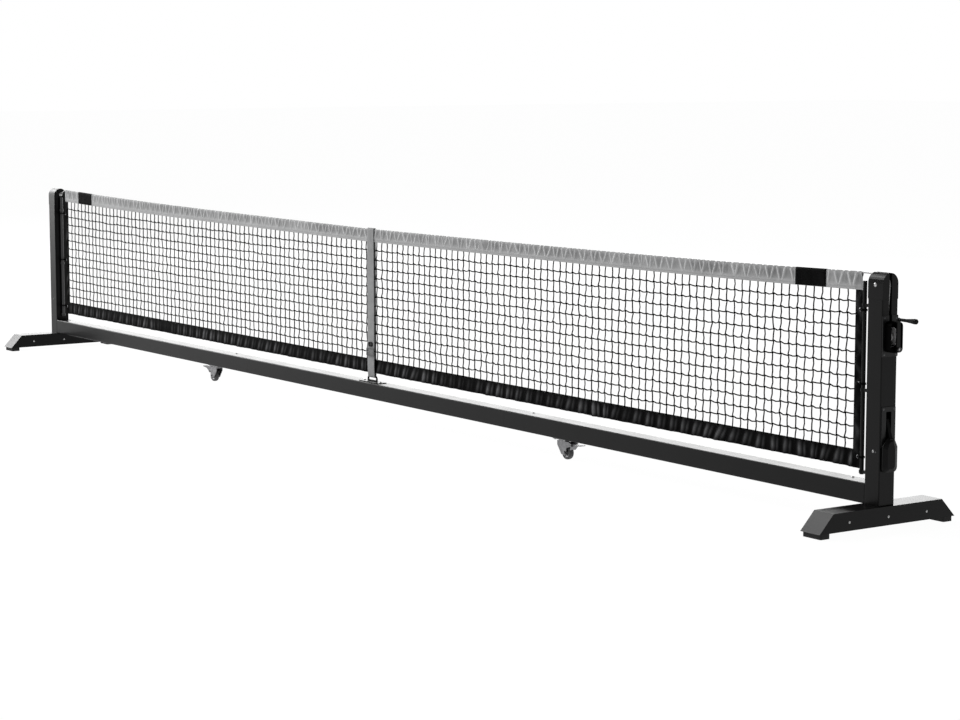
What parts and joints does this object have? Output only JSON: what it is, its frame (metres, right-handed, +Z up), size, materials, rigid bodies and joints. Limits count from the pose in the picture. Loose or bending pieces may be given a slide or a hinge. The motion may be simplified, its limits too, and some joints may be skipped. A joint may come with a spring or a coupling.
{
  "type": "pickleball net",
  "caption": "Portable full-width pickleball net: posts on T feet, sectioned base bar on braked casters, net on a steel cable with worm winch, centre strap and tension lever.",
  "frame": {"origin": "on the floor, under the middle of the overall length, from the left foot to the end of the crank; the middle of the net is 60.5 mm from it towards -X", "axes": "+X along the net towards the post with the winch, +Y across the net away from the side with the strap's buckle, +Z up"},
  "size_m": [6.989, 0.658, 0.9186],
  "materials": {
    "powder_coat": "semi-gloss black powder coat",
    "bright_steel": "zinc-plated steel",
    "caster_steel": "zinc-plated pressed steel",
    "sleeve_steel": "bare steel tube",
    "cable_steel": "coated wire rope",
    "foot_rubber": "matte black rubber",
    "wheel_rubber": "dark grey rubber tread on a plastic hub",
    "black_plastic": "moulded black plastic",
    "tape_cloth": "light grey woven polyester",
    "band_cloth": "black coated cloth",
    "net_cord": "knotted black polyester cord",
    "strap_webbing": "grey woven webbing"
  },
  "bodies": {
    "frame": {"base_bar_left": "powder_coat", "base_bar_middle": "powder_coat", "base_bar_right": "powder_coat", "base_leg_left": "powder_coat", "base_leg_right": "powder_coat", "cable_anchor": "bright_steel", "centre_strap": "strap_webbing", "drum_axle": "bright_steel", "foot_pad_left_front": "foot_rubber", "foot_pad_left_rear": "foot_rubber", "foot_pad_right_front": "foot_rubber", "foot_pad_right_rear": "foot_rubber", "joiner_sleeve_left": "sleeve_steel", "joiner_sleeve_right": "sleeve_steel", "left_caster_plate": "caster_steel", "lever_pin": "bright_steel", "lever_plate": "powder_coat", "net_bottom_band": "band_cloth", "net_headband": "tape_cloth", "net_mesh": "net_cord", "net_rod_left": "powder_coat", "net_rod_right": "powder_coat", "net_side_band_left": "band_cloth", "net_side_band_right": "band_cloth", "post_cap_left": "powder_coat", "post_cap_right": "powder_coat", "post_left": "powder_coat", "post_right": "powder_coat", "pulley_axle": "bright_steel", "right_caster_plate": "caster_steel", "rod_clip_left_bottom": "powder_coat", "rod_clip_left_middle": "powder_coat", "rod_clip_left_top": "powder_coat", "rod_clip_right_bottom": "powder_coat", "rod_clip_right_middle": "powder_coat", "rod_clip_right_top": "powder_coat", "steel_cable": "cable_steel", "strap_anchor_plate": "powder_coat", "strap_buckle": "bright_steel", "strap_ring": "black_plastic", "strap_slider": "black_plastic", "winch_housing": "powder_coat", "winch_plate": "powder_coat"},
    "pulley": {"cap_pulley": "bright_steel"},
    "drum": {"winch_drum": "bright_steel", "winch_gear": "bright_steel"},
    "crank": {"worm_shaft": "bright_steel", "crank_arm": "powder_coat", "crank_nut": "bright_steel", "grip_rivet": "bright_steel"},
    "grip": {"crank_grip": "black_plastic"},
    "lever": {"tension_lever": "black_plastic"},
    "left_caster_swivel": {"left_caster_fork": "caster_steel", "left_caster_axle": "caster_steel"},
    "left_caster_roller": {"left_caster_wheel": "wheel_rubber"},
    "left_caster_brake": {"left_caster_pedal": "caster_steel"},
    "right_caster_swivel": {"right_caster_fork": "caster_steel", "right_caster_axle": "caster_steel"},
    "right_caster_roller": {"right_caster_wheel": "wheel_rubber"},
    "right_caster_brake": {"right_caster_pedal": "caster_steel"}
  },
  "joints": [
    {"name": "crank_spin", "type": "hinge", "parent": "frame", "child": "crank", "pos_m": [3.3995, 0, 0.6517], "axis": [1, 0, 0], "continuous": true},
    {"name": "drum_spin", "type": "hinge", "parent": "frame", "child": "drum", "pos_m": [3.3635, 0, 0.694], "axis": [0, 1, 0], "continuous": true},
    {"name": "pulley_spin", "type": "hinge", "parent": "frame", "child": "pulley", "pos_m": [3.3235, 0, 0.876], "axis": [0, 1, 0], "continuous": true},
    {"name": "grip_spin", "type": "hinge", "parent": "crank", "child": "grip", "pos_m": [3.4095, 0, 0.757], "axis": [1, 0, 0], "continuous": true},
    {"name": "lever_swing", "type": "hinge", "parent": "frame", "child": "lever", "pos_m": [3.3525, 0, 0.395], "axis": [0, -1, 0], "range_deg": [0, 80]},
    {"name": "left_caster_turn", "type": "hinge", "parent": "frame", "child": "left_caster_swivel", "pos_m": [-1.5635, 0, 0.08], "axis": [0, 0, 1], "continuous": true},
    {"name": "left_wheel_roll", "type": "hinge", "parent": "left_caster_swivel", "child": "left_caster_roller", "pos_m": [-1.5905, 0, 0.0305], "axis": [0, 1, 0], "continuous": true},
    {"name": "left_brake_press", "type": "hinge", "parent": "left_caster_swivel", "child": "left_caster_brake", "pos_m": [-1.6315, 0, 0.0655], "axis": [0, -1, 0], "range_deg": [0, 14]},
    {"name": "right_caster_turn", "type": "hinge", "parent": "frame", "child": "right_caster_swivel", "pos_m": [1.4425, 0, 0.08], "axis": [0, 0, 1], "continuous": true},
    {"name": "right_wheel_roll", "type": "hinge", "parent": "right_caster_swivel", "child": "right_caster_roller", "pos_m": [1.4695, 0, 0.0305], "axis": [0, 1, 0], "continuous": true},
    {"name": "right_brake_press", "type": "hinge", "parent": "right_caster_swivel", "child": "right_caster_brake", "pos_m": [1.5105, 0, 0.0655], "axis": [0, 1, 0], "range_deg": [0, 14]}
  ],
  "couplings": [
    {"joint": "drum_spin", "follows": "crank_spin", "ratio": -0.03125},
    {"joint": "pulley_spin", "follows": "crank_spin", "ratio": 0.01416}
  ]
}
